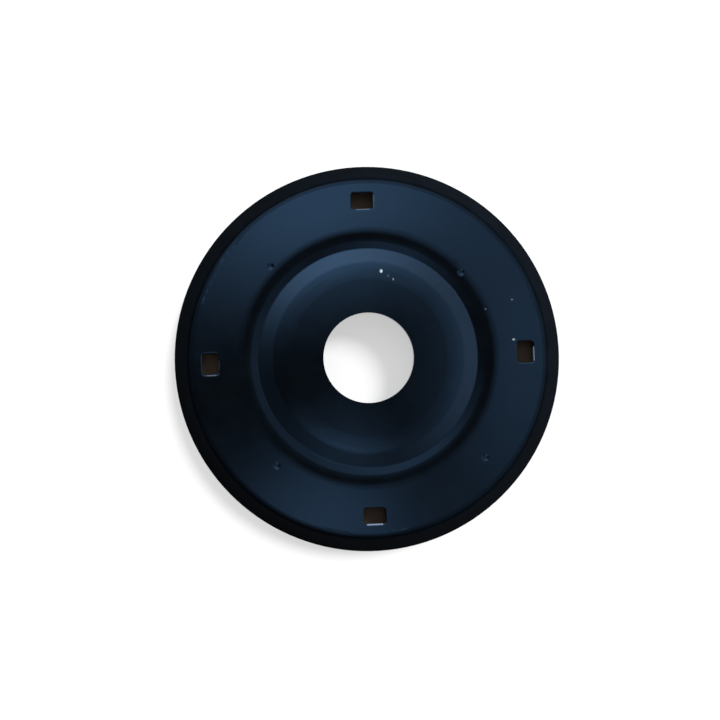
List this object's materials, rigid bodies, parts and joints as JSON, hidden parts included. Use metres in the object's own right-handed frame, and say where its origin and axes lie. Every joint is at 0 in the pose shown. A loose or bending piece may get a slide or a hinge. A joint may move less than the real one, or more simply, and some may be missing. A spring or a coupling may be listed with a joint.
{
  "type": "trimmer head",
  "caption": "Round black pressed steel trimmer head with a central arbor bore, a raised flat centre and square windows through which cutting lines are threaded.",
  "frame": {"origin": "on the bore's axis, at the height of the rim's lower edge, on which the head stands", "axes": "+Z along the bore's axis, out of the face with the windows; the windows lie on X and Y"},
  "size_m": [0.11, 0.11, 0.0095],
  "materials": {
    "black_paint": "satin",
    "black_paint_lower": "satin"
  },
  "bodies": {
    "root": {"upper_plate": "black_paint", "lower_plate": "black_paint_lower"}
  },
  "joints": []
}
